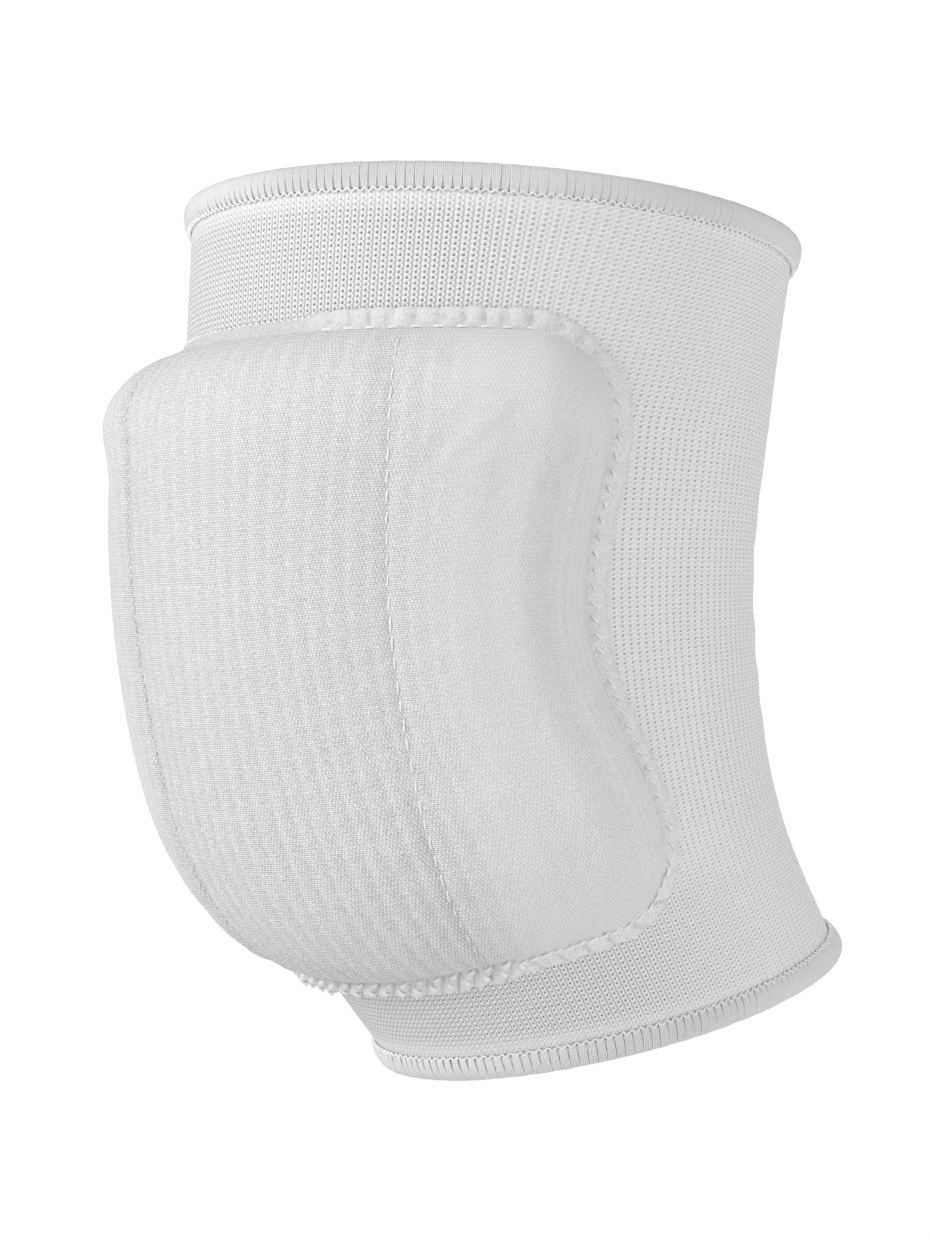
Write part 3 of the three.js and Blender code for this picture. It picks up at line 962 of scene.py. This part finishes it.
sewn_rows = [
    dict(zone=above_pad, pitch=scallop_pitch, shift=0.5, slant=0.12, stretch=(1.3, 1.2, 0.85), out=0.3 * MM),
    dict(zone=beside, pitch=pinch_pitch, shift=0.5, slant=0.9, stretch=(1.5, 0.8, 0.62), out=1.9 * MM),
    dict(zone=low_side, pitch=2.6 * MM, shift=0.2, slant=0.35, stretch=(1.8, 1.2, 0.75), out=1.9 * MM),
    dict(zone=low_front, pitch=lobe_pitch, shift=0.0, slant=0.8, stretch=(2.4, 1.2, 0.6), out=1.0 * MM),
    dict(zone=low_front, pitch=lobe_pitch, shift=0.3, slant=-0.7, stretch=(2.4, 1.2, 0.6), out=2.6 * MM),
    dict(zone=flat_top, pitch=1.9 * MM, shift=0.0, slant=0.0, stretch=(1.2, 1.0, 0.42), out=3.3 * MM),
]
stitch_rise = 0.03 * MM
spreads, lifts = (part[:, : len(profile_across)] for part in (band_spread, band_lift))
stitch_at, stitch_way, stitch_up, stitch_size = [], [], [], []
for kind in sewn_rows:
    count = round(outline_length / kind["pitch"])
    numbers = np.round((np.arange(count) + kind["shift"]) / count * band_places).astype(int) % band_places
    numbers = numbers[kind["zone"][numbers] > 0.5]
    angle, along = walked(edge_angle[numbers], edge_along[numbers], edge_out[numbers], kind["out"])
    surface = [np.interp(kind["out"], spreads[number], lifts[number]) for number in numbers]
    stitch_at.append(off_tube(angle, along, np.array(surface) + stitch_rise))
    ahead, aside = edge_way[numbers] * math.cos(kind["slant"]), edge_out[numbers] * math.sin(kind["slant"])
    stitch_way.append(ahead + aside)
    stitch_up.append(edge_up[numbers])
    stitch_size.append(np.tile(kind["stretch"], (len(numbers), 1)))
stitch_up = np.concatenate(stitch_up)
band_stitches = sew(
    "EdgeBandStitches",
    [seam_stitch],
    np.concatenate(stitch_at),
    np.cross(stitch_up, np.concatenate(stitch_way)),
    stitch_up,
    np.concatenate(stitch_size),
    sewing_thread,
    {"Thread Radius": 0.24 * MM, "Unevenness": 0.15, "Seed": 5},
)
hang(band_stitches, "root", "band")


# Overlocked edgings: both raw ends of the tube are wrapped with soft white thread. A needle thread
# gathers the wrapping into bundles, which fan out from it over the edge and down the inside.
wrapping_thread = cloth_material("WhiteWrappingThread", lambda wire: thread_finish(wire, 0.81))
bundle_pitch = 2.0 * MM
channel_steps = 240
front_gather, rear_gather = 0.44, 0.12
bundle_threads, thread_gap = 5, 0.395
needle_line, loose_from = -4.1, -1.9  # how far past the raw edge the threads are drawn together, and lie free
gather_centre, gather_reach = -15, 60  # degrees of the edging that are gathered most
channel_section = [
    (0.15, -4.0), (0.5, -3.75), (1.15, -2.7), (1.3, 0.2), (1.05, 0.9), (0.4, 1.3),
    (-2.4, 1.3), (-3.05, 0.9), (-3.3, 0.2), (-3.15, -2.7), (-2.5, -3.75), (-2.15, -4.0),
    (-2.15, -1.7), (-2.15, 0.15), (0.15, 0.15), (0.15, -1.7),
]
wrapping_line = [
    (0.2, -4.2), (0.75, -3.8), (1.35, -2.75), (1.66, -1.2), (1.6, 0.4), (1.05, 1.3), (0.0, 1.66),
    (-1.9, 1.66), (-3.05, 1.3), (-3.6, 0.4), (-3.66, -1.2), (-3.35, -2.75), (-2.75, -3.8), (-2.2, -4.2),
]


def bundle(gather):
    """Threads side by side over the edge, closer together at the needle line."""
    spread = [1 - gather * (1 - float(ease(needle_line, loose_from, ahead))) for _, ahead in wrapping_line]
    lines = []
    for number in np.arange(bundle_threads) - bundle_threads // 2:
        across = float(thread_gap * number)
        lines.append([(across * wide, out, ahead) for wide, (out, ahead) in zip(spread, wrapping_line)])
    return lines


needle_loop = [
    (-0.98, 0.3, -4.55), (-0.55, 0.62, -4.35), (-0.1, 0.95, -3.9), (0.3, 0.72, -4.15), (0.98, 0.3, -4.5),
]


def rim(end, count):
    """Even steps round an end of the tube: place, outward direction, the way beyond the edge, the length
    round and the angle."""
    angle = np.linspace(-180, 180, 2881)
    places = tube_point(angle, end)
    gone = way_gone(places)
    angle = np.interp((np.arange(count) + 0.5) * gone[-1] / count, gone, angle)
    per_degree, _, outward = tube_frame(angle, np.full(count, float(end)))
    beyond = np.cross(outward, unit(per_degree)) * (1 if end else -1)
    return tube_point(angle, end), outward, beyond, gone[-1], angle


def wrap_edge(name, end, node):
    """A channel of thread over one end of the tube, and the bundles that cover it."""
    places, outward, beyond, length, _ = rim(end, channel_steps)
    section = np.array(channel_section if end else channel_section[::-1]) * MM
    skin = places[:, None] + outward[:, None] * section[:, :1] + beyond[:, None] * section[:, 1:]
    channel = ring_piece(name, skin, np.zeros((channel_steps + 1, len(section) + 1, 2)))
    channel.data.materials.append(wrapping_thread)
    hang(channel, "root", "edging", node)
    bundles = round(length / bundle_pitch)
    places, outward, beyond, _, angle = rim(end, bundles)
    gathered, everywhere = np.abs(angle - gather_centre) < gather_reach, np.ones(bundles, bool)
    for label, lines, chosen, thread in (
        ("FrontThreads", bundle(front_gather), gathered, wrapping_thread),
        ("RearThreads", bundle(rear_gather), ~gathered, wrapping_thread),
        ("NeedleThread", [needle_loop], everywhere, sewing_thread),
    ):
        wrapped = sew(
            name + label,
            lines,
            places[chosen],
            np.cross(outward, beyond)[chosen],
            outward[chosen],
            (length / bundles / bundle_pitch, 1, 1),
            thread,
            {"Thread Radius": 0.24 * MM, "Unevenness": 0.03, "Seed": 3 + end},
        )
        hang(wrapped, "root", "edging")


wrap_edge("ThighEdging", 1, "thigh_edging")
wrap_edge("CalfEdging", 0, "calf_edging")
